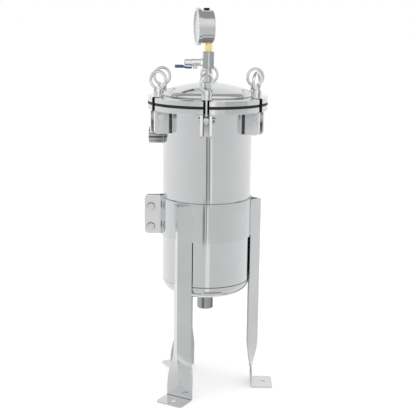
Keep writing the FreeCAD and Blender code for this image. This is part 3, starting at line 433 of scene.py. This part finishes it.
def inlet_bar(name, light, dark):
    """Turned bar along X: dark and light streaks that run with its axis, and painted shade that darkens it towards
    the shell.
    """
    m, tree, surface, _ = material(name)
    streaks = noise(tree, place(tree, (3, 150, 230)), 1.0, 2.0)
    # Painted shade: the bar darkens where it meets the shell.
    near = span(tree, xyz(tree)[0], INLET_BRIGHT, INLET_DARK, 0.0, 0.45)
    tone = calc(tree, "MAXIMUM", calc(tree, "SUBTRACT", span(tree, streaks, 0.38, 0.62), near), 0.0)
    plug(tree, surface, {"Base Color": mix_colours(tree, tone, srgb(dark), srgb(light)),
                         "Roughness": gloss(tree, streaks, 0.14, 0.22), "Metallic": 1.0})
    bump(tree, surface, streaks, 0.15, 0.00002)
    return m


# X between which a dressed bead turns raw
DRESSED_TO_X, RAW_FROM_X = -0.070, -0.030


def weld_metal(name, light, dark, dressed=None):
    """Weld bead: duller than the plate, rippled, and uneven in tone from the heat. With a third colour, the
    bead is dressed bright on the housing's left."""
    m, tree, surface, _ = material(name)
    ripple = noise(tree, place(tree), 420.0, 2.0)
    tint = noise(tree, place(tree), 30.0, 3.0)
    colour = mix_colours(tree, span(tree, tint, 0.35, 0.65), srgb(dark), srgb(light))
    if dressed:
        raw = span(tree, xyz(tree)[0], DRESSED_TO_X, RAW_FROM_X)
        colour = mix_colours(tree, raw, srgb(dressed), colour)
    plug(tree, surface, {"Base Color": colour, "Roughness": gloss(tree, ripple, 0.22, 0.38), "Metallic": 1.0})
    bump(tree, surface, ripple, 0.5, 0.0004)
    return m


def moulded(name, light, dark, rough, scale, strength, distance, coat=0.0):
    """Moulded, painted or rubber surface: mottled colour, uneven gloss and a fine grain."""
    m, tree, surface, _ = material(name)
    grain = noise(tree, place(tree), scale, 4.0)
    mottle = noise(tree, place(tree), scale * 0.06, 3.0)
    plug(tree, surface, {"Base Color": shade(tree, mottle, dark, light),
                         "Roughness": gloss(tree, grain, rough * 0.85, rough * 1.15), "Coat Weight": coat})
    bump(tree, surface, grain, strength, distance)
    return m


def glass(name, tint, straight_through=0.12):
    """Flat gauge glass with the faintest uneven polish. Shadow and diffuse rays go straight through the pane,
    and so does a share of all others, as through two parallel faces."""
    m, tree, surface, end = material(name)
    film = noise(tree, place(tree), 60.0, 2.0)
    plug(tree, surface, {"Base Color": srgb(tint), "Roughness": gloss(tree, film, 0.0, 0.02),
                         "Transmission Weight": 1.0, "Coat Weight": 1.0, "Coat IOR": 1.8})
    clear = add(tree, "ShaderNodeBsdfTransparent", {"Color": srgb(tint)})
    path = add(tree, "ShaderNodeLightPath").outputs
    soft = calc(tree, "MAXIMUM", path["Is Shadow Ray"], path["Is Diffuse Ray"])
    share = calc(tree, "MAXIMUM", soft, straight_through)
    pane = add(tree, "ShaderNodeMixShader", {0: share, 1: surface.outputs[0], 2: clear.outputs[0]})
    plug(tree, end, {"Surface": pane.outputs[0]})
    return m


def perforated(name, light, dark):
    """Satin perforated sheet: a close pattern of small dark holes between the large slots."""
    m, tree, surface, _ = material(name)
    cells = add(tree, "ShaderNodeTexVoronoi", {"Vector": place(tree), "Scale": 190.0, "Randomness": 0.0})
    sheet = span(tree, cells.outputs["Distance"], 0.26, 0.34)
    plug(tree, surface, {"Base Color": mix_colours(tree, sheet, srgb(dark), srgb(light)),
                         "Roughness": span(tree, sheet, 0.0, 1.0, 0.7, 0.3), "Metallic": 1.0})
    bump(tree, surface, sheet, 0.6, 0.0005)
    return m


def felt(name, light, dark):
    """Needle felt: matted fibres, soft and slightly uneven in tone."""
    m, tree, surface, _ = material(name)
    fibres = noise(tree, place(tree, (1, 1, 0.45)), 900.0, 5.0, 0.7)
    patches = noise(tree, place(tree), 45.0, 3.0)
    plug(tree, surface, {"Base Color": shade(tree, patches, dark, light), "Roughness": 0.95,
                         "Sheen Weight": 0.4})
    bump(tree, surface, fibres, 0.6, 0.0006)
    return m


MAT = {
    "shell": steel("polished stainless shell", "DDDEDF", "D6D7D8", 0.07, (14, 14, 700), 1.0),
    "dome": steel("polished stainless dome", "DFE0E1", "D9DADB", 0.10, (60, 60, 60), 6.0),
    "flange": turned_steel("turned stainless flange", "DFE0E1", "D3D4D5", 0.12, 0.0006, "3A3B3C"),
    "neck": steel("bright drawn stainless pipe", "DADBDC", "D0D1D2", 0.11, (260, 260, 12), 1.0, 0.04),
    "band": clamp_band("polished clamp band", "DADBDC", "D0D1D2", "F0F0F1", "97989A"),
    "outlet": steel("turned outlet steel", "BDBEBF", "838485", 0.16, (120, 120, 4), 1.0, 0.04),
    "inlet": inlet_bar("turned inlet steel", "D2D3D4", "5E5F60"),
    # The leg's last colour is the painted shadow in the gap between leg and shell.
    "leg": folded_strip("folded stainless strip", "DDDEDF", "D2D3D4", "C9CACB", "1E1F20"),
    "clamp": steel("satin clamp bolt", "F4F4F5", "E4E5E6", 0.26, (80, 80, 80), 8.0),
    "washer": steel("plain steel washer", "8A8B8C", "747576", 0.22, (90, 90, 90), 8.0),
    "seal": moulded("pale silicone seal", "ECECE8", "E2E2DE", 0.5, 500.0, 0.1, 0.0001),
    "lug": lug_plate("satin lug plate", "F0F1F1", "E2E3E4", "FBFBFB", "77787A"),
    "block": hexagon_bar("drawn hexagon bar", "BEBFC0", "ADAEB0", "F6F6F6"),
    "fastener": steel("polished stainless fastener", "EEEFF0", "DDDEDF", 0.06, (90, 90, 90), 8.0, 0.01),
    "bolt": threaded_steel("swing bolt steel", "DDDEDF", "CCCDCE", 0.13),
    "weld": weld_metal("stainless weld bead", "C6C6C7", "A4A5A6"),
    # The lug beads' dark colour is painted shade at the lug plates' roots.
    "dark_weld": weld_metal("weld bead painted dark as shade", "5A5A5C", "3E3E40"),
    "seam_weld": weld_metal("partly dressed weld bead", "5A5A5C", "3E3E40", "D6D7D8"),
    "bright_weld": weld_metal("brushed weld bead", "F2F2F3", "E0E1E2"),
    "gauge": gauge_steel("polished gauge case", "DADBDC", "CFD0D1", "F4F4F2"),
    "brass": steel("machined gauge brass", "FFF3C2", "F8E09A", 0.14, (80, 80, 900), 1.0, 0.05),
    "rubber": moulded("black gasket rubber", "1E1E1E", "101010", 0.62, 900.0, 0.3, 0.0002),
    "dial": moulded("white enamelled dial", "F4F4F1", "ECECE8", 0.35, 700.0, 0.05, 0.00005),
    "ink": moulded("black dial print", "2E2E30", "242426", 0.5, 700.0, 0.05, 0.00002),
    "vinyl": moulded("dipped blue vinyl", "546994", "384A70", 0.30, 500.0, 0.12, 0.0001, 0.2),
    "plastic": moulded("moulded white polypropylene", "E6E6E1", "DCDCD6", 0.42, 420.0, 0.1, 0.0001),
    "valve": steel("plated valve body", "F8F8F8", "EDEDED", 0.09, (70, 70, 70), 7.0),
    "basket": perforated("perforated basket sheet", "B9BBBD", "2A2B2C"),
    "felt": felt("needle felt bag", "EFECE2", "D9D5C8"),
    "glass": glass("clear gauge glass", "FCFDFD"),
}


def each_bolt(name):
    """The nodes of a piece that every bolt has."""
    return ["%s_%d" % (name, k + 1) for k in range(BOLTS)]


MADE_OF = {
    "shell": ["shell", "bottom_head"],
    "dome": ["lid_dome"],
    "flange": ["body_flange", "lid_flange", "bag_seat_ring"],
    "neck": ["lid_neck"],
    "band": ["support_band"],
    "outlet": ["outlet_coupling"],
    "inlet": ["inlet_coupling"],
    "lug": each_bolt("lug_pair"),
    "block": ["gauge_block"],
    "leg": ["leg_right", "leg_front_left", "leg_back_left"],
    "clamp": ["clamp_bolts", "clamp_nuts"],
    "washer": ["clamp_washers"],
    "fastener": ["lug_pins", "lug_pin_nuts"] + each_bolt("eye_nut"),
    "bolt": each_bolt("swing_bolt"),
    "gauge": ["gauge_case", "gauge_bezel"],
    "brass": ["gauge_stem", "gauge_movement"],
    "rubber": ["lid_gasket", "gauge_fill_plug"],
    "dial": ["gauge_dial"],
    "ink": ["gauge_pointer"],
    "vinyl": ["lever_grip"],
    "plastic": ["bag_ring"],
    "valve": ["valve_body", "valve_end", "valve_ball", "valve_stem", "valve_lever", "lever_nut"],
    "basket": ["basket", "basket_rim"],
    "felt": ["filter_bag"],
    "glass": ["gauge_lens"],
}
for finish, nodes in MADE_OF.items():
    for node_name in nodes:
        slots = frame["nodes"][node_name].data.materials
        slots.clear()
        slots.append(MAT[finish])


# New pieces

def show(name, data):
    """Puts a mesh, lamp or camera into the scene."""
    o = bpy.data.objects.new(name, data)
    bpy.context.scene.collection.objects.link(o)
    return o


def bm_mesh(bm, name, finish):
    mesh = bpy.data.meshes.new(name)
    bm.to_mesh(mesh)
    bm.free()
    mesh.materials.append(finish)
    return mesh


def finish_piece(bm, name, finish, body, smooth_deg=35.0):
    """Turns a bmesh into a smooth piece at the origin that rides on a body."""
    bmesh.ops.recalc_face_normals(bm, faces=bm.faces)
    mesh = bm_mesh(bm, name, MAT[finish])
    mesh.shade_smooth()
    mesh.set_sharp_from_angle(angle=math.radians(smooth_deg))
    o = show(name, mesh)
    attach(o, body)
    return o


def full_spin(bm, geom, steps):
    """Spins a profile or a section once round Z."""
    bmesh.ops.spin(bm, geom=geom, cent=(0, 0, 0), axis=(0, 0, 1), angle=2 * math.pi, steps=steps,
                   use_merge=True)


def ripple_bead(bm, radius, size, waves):
    """A round weld bead once about Z, swelling a little with each pool of the weld."""
    start = Matrix.Translation((radius, 0, 0)) @ Matrix.Rotation(math.pi / 2, 4, "X")
    loop = bmesh.ops.create_circle(bm, segments=8, radius=size, matrix=start)["verts"]
    full_spin(bm, loop + list({e for v in loop for e in v.link_edges}), waves * 3)
    for v in bm.verts:
        a = math.atan2(v.co.y, v.co.x)
        centre = Vector((radius * math.cos(a), radius * math.sin(a), 0))
        v.co = centre + (v.co - centre) * (1 + 0.10 * math.sin(a * waves))


def ring_bead(name, radius, z, size, body, finish="weld"):
    bm = bmesh.new()
    ripple_bead(bm, radius, size, 80)
    bmesh.ops.translate(bm, vec=(0, 0, z), verts=bm.verts)
    return finish_piece(bm, name, finish, body)


def inlet_bead():
    """The inlet's fillet weld, which follows the shell's curve round the coupling."""
    bm = bmesh.new()
    ripple_bead(bm, COUPLING_R + 0.0003, 0.0015, 30)
    bmesh.ops.rotate(bm, cent=(0, 0, 0), matrix=Matrix.Rotation(math.pi / 2, 3, "Y"), verts=bm.verts)
    bmesh.ops.translate(bm, vec=(-SHELL_R, 0, INLET_Z), verts=bm.verts)
    for v in bm.verts:
        v.co.x += SHELL_R - math.sqrt(SHELL_R ** 2 - v.co.y ** 2)
    return finish_piece(bm, "weld_inlet", "weld", "housing")


def upright_bead(bm, low, high, size, at, turn):
    """A round bead between two levels at a point beside the shell, turned about the housing's axis."""
    here = Matrix.Rotation(turn, 4, "Z") @ Matrix.Translation((at[0], at[1], (low + high) / 2))
    made = bmesh.ops.create_cone(bm, cap_ends=True, segments=8, radius1=size, radius2=size, depth=high - low,
                                 matrix=here)["verts"]
    edges = {e for v in made for e in v.link_edges}
    upright = [e for e in edges if abs(e.verts[0].co.z - e.verts[1].co.z) > (high - low) / 2]
    bmesh.ops.subdivide_edges(bm, edges=upright, cuts=23, use_grid_fill=True)


def lug_welds():
    """Beads beside the lug plates, coloured dark as painted shade at the plates' roots; the front pair's are
    dressed flush.
    """
    bm = bmesh.new()
    for k in range(1, BOLTS):
        turn = PIN_TURN + 2 * math.pi * k / BOLTS
        for side in (-1, 1):
            upright_bead(bm, LUG_FOOT + 0.0008, FLANGE_UNDER - 0.0008, 0.0031,
                         (side * 0.0153, 0.00075 - SHELL_R), turn)
    for v in bm.verts:
        swell = 1 + 0.0014 * math.sin(v.co.z * 2400)
        v.co.x *= swell
        v.co.y *= swell
    return finish_piece(bm, "weld_lugs", "dark_weld", "housing")


def leg_welds():
    """Fillets that join both edges of each folded leg to the band."""
    bm = bmesh.new()
    for k in range(LEGS):
        turn = math.pi / 2 - 2 * math.pi * k / LEGS
        for side in (-1, 1):
            upright_bead(bm, BAND_FOOT + 0.002, LEG_TOP - 0.001, 0.0013,
                         (side * 0.02606, 0.0022 - BAND_R), turn)
    return finish_piece(bm, "weld_legs", "bright_weld", "housing")


# The gauge's scale, in metres from its centre and in radians to the left of the top
PRINT_AT = 0.02106
SCALE_R = 0.0362
NUMBER_R = 0.0262
NUMBER_SIZE = 0.0075
SCALE_START = math.radians(135)
SCALE_SWEEP = math.radians(270)
DIVISIONS = 50


def scale_number(bm, value, angle):
    text = bpy.data.curves.new("scale_number", "FONT")
    text.body = str(value)
    text.size = NUMBER_SIZE
    text.align_x, text.align_y = "CENTER", "CENTER"
    text.extrude = 0.00004
    holder = bpy.data.objects.new("scale_number", text)
    mesh = bpy.data.meshes.new_from_object(holder)
    at = (-math.sin(angle) * NUMBER_R, math.cos(angle) * NUMBER_R, PRINT_AT)
    mesh.transform(GAUGE_FACE @ Matrix.Translation(at))
    bm.from_mesh(mesh)
    bpy.data.meshes.remove(mesh)
    bpy.data.objects.remove(holder)
    bpy.data.curves.remove(text)


def dial_print():
    """The printed scale: fifty divisions from the lower left to the lower right, numbered 0 to 10."""
    bm = bmesh.new()
    for i in range(DIVISIONS + 1):
        angle = SCALE_START - SCALE_SWEEP * i / DIVISIONS
        length = 0.0052 if i % 10 == 0 else 0.0038 if i % 5 == 0 else 0.0026
        width = 0.0009 if i % 10 == 0 else 0.0005
        bar = (Matrix.Rotation(angle, 4, "Z") @ Matrix.Translation((0, SCALE_R - length / 2, PRINT_AT))
               @ Matrix.Diagonal((width, length, 0.00008, 1)))
        bmesh.ops.create_cube(bm, size=1.0, matrix=GAUGE_FACE @ bar)
    for value in range(0, 11, 2):
        scale_number(bm, value, SCALE_START - SCALE_SWEEP * value / 10)
    return finish_piece(bm, "dial_print", "ink", "lid")


def lens_seal():
    """Pale ring that seats the gauge glass between the case's lip and the bezel."""
    bm = bmesh.new()
    inner_r, outer_r, back, front = 0.0384, 0.0408, 0.0233, 0.0258
    section = [bm.verts.new((r, 0, z)) for r, z in ((inner_r, back), (outer_r, back), (outer_r, front),
                                                    (inner_r, front))]
    sides = [bm.edges.new(pair) for pair in zip(section, section[1:] + section[:1])]
    full_spin(bm, section + sides, 96)
    bmesh.ops.transform(bm, matrix=GAUGE_FACE, verts=bm.verts)
    return finish_piece(bm, "lens_seal", "seal", "lid")


FELT_T = 0.0020
SEAM_AT = 2.2
STITCHED_HEM_Z = BAG_TOP - 0.016


def felt_relief(r, angle, z):
    """How far the felt stands out of its spun profile: soft folds inwards, the lapped seam and the hem."""
    height = (z - BAG_FOOT) / (BAG_TOP - BAG_FOOT)
    slack = math.sin(math.pi * min(1.0, max(0.0, height))) ** 0.5
    folds = math.sin(5 * angle + 3.0 * height) + 0.6 * math.sin(9 * angle - 7.0 * height + 1.3)
    folds += 0.5 * math.sin(3 * angle + 16.0 * height)
    inward = 0.0011 * slack * (folds + 2.1) * (1.0 if r > 0.07 else 0.4)
    seam = 0.0007 * max(0.0, 1.0 - abs(math.remainder(angle - SEAM_AT, 2 * math.pi)) / 0.07)
    hem = 0.0006 * max(0.0, 1.0 - abs(z - STITCHED_HEM_Z) / 0.004)
    return seam - hem - inward


def felt_bag():
    """Sewn felt sleeve: a spun profile with soft folds, a lapped side seam and a round bottom."""
    bm = bmesh.new()
    side_r, mouth_r = BAG_R - FELT_T, BAG_R - 0.0012
    profile = [(0.0005, BAG_FOOT + 0.003), (0.030, BAG_FOOT + 0.002), (side_r - 0.0125, BAG_FOOT + 0.0015),
               (side_r - 0.003, BAG_FOOT + 0.005), (side_r - 0.0003, BAG_FOOT + 0.014),
               (side_r, BAG_FOOT + 0.030), (side_r, BAG_TOP - 0.020), (mouth_r, BAG_TOP - 0.004),
               (mouth_r, BAG_TOP)]
    verts = [bm.verts.new((r, 0, z)) for r, z in profile]
    edges = [bm.edges.new(pair) for pair in zip(verts, verts[1:])]
    side = max(edges, key=lambda e: abs(e.verts[0].co.z - e.verts[1].co.z))
    bmesh.ops.subdivide_edges(bm, edges=[side], cuts=44)
    full_spin(bm, list(bm.verts) + list(bm.edges), 120)
    for v in bm.verts:
        r = math.hypot(v.co.x, v.co.y)
        if r < 0.01:
            continue
        out = 1 + felt_relief(r, math.atan2(v.co.y, v.co.x), v.co.z) / r
        v.co.x *= out
        v.co.y *= out
    bmesh.ops.recalc_face_normals(bm, faces=bm.faces)
    bmesh.ops.solidify(bm, geom=bm.faces, thickness=FELT_T * 0.9)
    bag = finish_piece(bm, "felt_sleeve", "felt", "bag_body", 60.0)
    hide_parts("filter_bag")
    return bag


ring_bead("weld_dome_to_flange", SHELL_R + 0.00065, LID_TOP + 0.0004, 0.0016, "lid")
ring_bead("weld_shell_to_flange", SHELL_R + 0.00065, FLANGE_UNDER - 0.0006, 0.0016, "housing")
ring_bead("weld_head_seam", SHELL_R - 0.00035, SHELL_FOOT - 0.0108, 0.0011, "housing", "seam_weld")
ring_bead("weld_outlet", COUPLING_R + 0.0007, HEAD_BOTTOM + 0.00014, 0.0020, "housing")
ring_bead("weld_neck", NECK_R + 0.00055, DOME_TOP - 0.00038, 0.0013, "lid")
inlet_bead()
lug_welds()
leg_welds()
dial_print()
lens_seal()
felt_bag()


# Camera, floor, world and lamp

IMAGE_PX = 416
FOCAL_PX = 956.5
CAMERA_AT = (0.0039, -2.3474, 0.9702)
CAMERA_PITCH, CAMERA_ROLL = math.radians(12.17), math.radians(0.76)


def shot_camera():
    """Camera at the photo's angle: as high as the gauge's top, looking down a little and slightly rolled."""
    data = bpy.data.cameras.new("camera")
    data.sensor_width = 36.0
    data.lens = data.sensor_width * FOCAL_PX / IMAGE_PX
    cam = show("camera", data)
    level_ahead = Matrix.Rotation(math.pi / 2, 4, "X")
    cam.matrix_world = (Matrix.Translation(CAMERA_AT) @ level_ahead
                        @ Matrix.Rotation(-CAMERA_PITCH, 4, "X") @ Matrix.Rotation(CAMERA_ROLL, 4, "Z"))
    bpy.context.scene.camera = cam


# Painted reflection lines: thin dark and bright lines that the floor shows only in reflections, as a panel joint
# in front of the object would leave them in the metal. For each range of distances in metres: where each line
# starts and ends, in degrees from the lines' middle, and how much it brightens or darkens.
PAINTED_REFLECTION_LINES = (
    (7.5, 99.0, ((-82.5, -32.5, -0.14), (-6.5, 12.5, 0.45), (12.5, 29.5, 0.05), (29.5, 77.5, -0.40))),
    (6.15, 7.5, ((-16.5, -7.5, 0.24), (2.5, 10.5, 0.62), (10.5, 15.5, 0.22))),
    (2.46, 6.15, ((-5.5, -2.8, -0.60), (-2.8, 1.9, -0.19), (1.9, 4.9, -0.43), (4.9, 9.3, 0.30))),
    (1.68, 2.46, ((-12.9, -7.3, -0.42), (-4.7, -2.3, -0.36), (-2.3, 0.4, 0.34), (0.4, 2.7, 0.05))),
    (0.27, 1.68, ((-4.8, 5.5, 0.24),)),
    (0.19, 0.27, ((-8.5, 47.0, -0.45),)),
)
# The painted lines' middle leans to the right of the front, more where it is near: distances, then angles.
LEAN = (2.4, 5.5, math.radians(4.4), math.radians(2.5))
FRONT_LEVEL, BACK_GAIN, SIDE_GAIN = 0.735, 0.30, -0.035


def mirrored_floor(tree):
    """Brightness of the studio floor as polished metal shows it: greyer in front, white behind, with thin dark and
    bright painted reflection lines."""
    x, y, _ = xyz(tree)
    ahead = calc(tree, "MULTIPLY", y, -1.0)
    away = radius_about_z(tree)
    turn = calc(tree, "MULTIPLY", inverse(tree, calc(tree, "DIVIDE", ahead, away)), 0.5)
    back = calc(tree, "MULTIPLY", calc(tree, "POWER", turn, 1.3), BACK_GAIN)
    side = calc(tree, "MULTIPLY", calc(tree, "DIVIDE", x, away), SIDE_GAIN)
    tone = calc(tree, "ADD", calc(tree, "ADD", back, side), FRONT_LEVEL)
    angle = calc(tree, "SUBTRACT", calc(tree, "ARCTAN2", x, ahead), span(tree, away, *LEAN))
    # Painted reflections: these lines show only in the metal, not on the floor itself.
    for near, far, lines in PAINTED_REFLECTION_LINES:
        zone = between(tree, away, near, far)
        for start, end, level in lines:
            line = calc(tree, "MULTIPLY", between(tree, angle, math.radians(start), math.radians(end)), zone)
            tone = calc(tree, "ADD", tone, calc(tree, "MULTIPLY", line, level))
    return tone


def floor():
    """Pale floor: white to the camera with the object's shadow, and the brightness above in reflections."""
    bm = bmesh.new()
    just_under = Matrix.Translation((0, 0, -0.0005))
    bmesh.ops.create_grid(bm, x_segments=1, y_segments=1, size=14.0, matrix=just_under)
    m = bpy.data.materials.new("pale studio floor")
    tree = empty_tree(m)
    matt = add(tree, "ShaderNodeBsdfDiffuse", {"Color": srgb("E8E8E8")}).outputs[0]
    glow = add(tree, "ShaderNodeEmission", {"Color": WHITE, "Strength": 0.30}).outputs[0]
    lifted = add(tree, "ShaderNodeAddShader", {0: matt, 1: glow}).outputs[0]
    shown = add(tree, "ShaderNodeEmission", {"Color": WHITE, "Strength": mirrored_floor(tree)}).outputs[0]
    path = add(tree, "ShaderNodeLightPath").outputs
    direct = add(tree, "ShaderNodeMixShader", {0: path["Is Camera Ray"], 1: matt, 2: lifted}).outputs[0]
    either = add(tree, "ShaderNodeMixShader", {0: path["Is Glossy Ray"], 1: direct, 2: shown}).outputs[0]
    add(tree, "ShaderNodeOutputMaterial", {"Surface": either})
    show("floor", bm_mesh(bm, "floor", m))


# Brightness of the studio from the front horizon (0) over the zenith (0.5) to the back horizon (1):
# a pale wall, a soft light high in front, a darker ceiling and a white backdrop.
STUDIO = ((0.0, 0.82), (0.07, 0.90), (0.11, 1.0), (0.30, 1.0), (0.34, 0.42), (0.66, 0.38),
          (0.76, 0.84), (0.86, 0.96), (1.0, 1.0))
LOW_SKY, HIGH_SKY = (0.80, 0.80, 0.81, 1.0), (0.95, 0.95, 0.96, 1.0)


def studio_world():
    """White to the camera and through glass, the studio above in reflections, and a soft even light for
    matt surfaces."""
    world = bpy.data.worlds.new("studio")
    bpy.context.scene.world = world
    tree = empty_tree(world)
    coords = add(tree, "ShaderNodeTexCoord")
    _, y, z = add(tree, "ShaderNodeSeparateXYZ", {0: coords.outputs["Generated"]}).outputs
    rise = calc(tree, "ARCTAN2", calc(tree, "ABSOLUTE", z), calc(tree, "MULTIPLY", y, -1.0))
    ramp = add(tree, "ShaderNodeValToRGB", {0: calc(tree, "DIVIDE", rise, math.pi)})
    stops = ramp.color_ramp.elements
    while len(stops) < len(STUDIO):
        stops.new(0.5)
    for stop, (at, level) in zip(stops, STUDIO):
        stop.position = at
        stop.color = (level, level, level, 1.0)
    even = mix_colours(tree, span(tree, z, -0.1, 0.9), LOW_SKY, HIGH_SKY)
    path = add(tree, "ShaderNodeLightPath").outputs
    plain = calc(tree, "MAXIMUM", path["Is Camera Ray"], path["Is Transmission Ray"])
    seen = mix_colours(tree, path["Is Glossy Ray"], even, ramp.outputs["Color"])
    seen = mix_colours(tree, plain, seen, WHITE)
    ground = add(tree, "ShaderNodeBackground", {"Color": seen, "Strength": 1.0})
    add(tree, "ShaderNodeOutputWorld", {"Surface": ground.outputs[0]})


def soft_lamp(at, aim, size, power):
    """One large square lamp that metal doesn't mirror."""
    data = bpy.data.lights.new("top light", "AREA")
    data.size = size
    data.energy = power
    lamp = show("top light", data)
    lamp.location = at
    lamp.rotation_mode = "QUATERNION"
    lamp.rotation_quaternion = (Vector(at) - Vector(aim)).to_track_quat("Z", "Y")
    lamp.visible_glossy = False


shot_camera()
floor()
studio_world()
soft_lamp(at=(0.0, -0.4, 3.0), aim=(0, 0, 0.5), size=2.4, power=18)
bpy.context.scene.view_settings.view_transform = "Standard"
